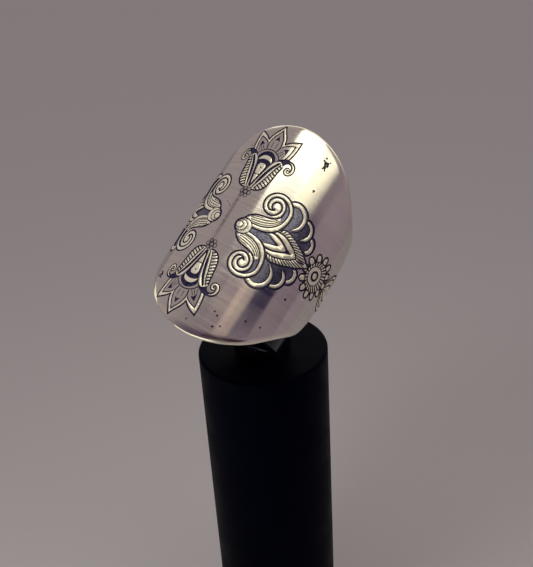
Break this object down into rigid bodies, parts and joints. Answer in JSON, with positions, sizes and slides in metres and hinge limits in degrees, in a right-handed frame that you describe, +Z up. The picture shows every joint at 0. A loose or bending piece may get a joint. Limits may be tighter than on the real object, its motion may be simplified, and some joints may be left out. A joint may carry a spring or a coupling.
{
  "type": "saddle ring on display post",
  "caption": "Wide shield-shaped saddle ring with an etched floral plate, narrowing to a thin shank, held on a split-tube clip on a round display post.",
  "frame": {"origin": "centre of the display post's flat bottom", "axes": "+Z up along the post, -Y towards the front of the picture's view, +X to its right; the ring's finger axis leans up to the back right"},
  "size_m": [0.026, 0.0261, 0.0914],
  "materials": {
    "silver": "brushed silver, etched lines blackened",
    "clip_plastic": "glossy black",
    "post_plastic": "satin black"
  },
  "bodies": {
    "root": {"saddle_ring": "silver", "ring_clip": "clip_plastic", "display_post": "post_plastic"}
  },
  "joints": []
}
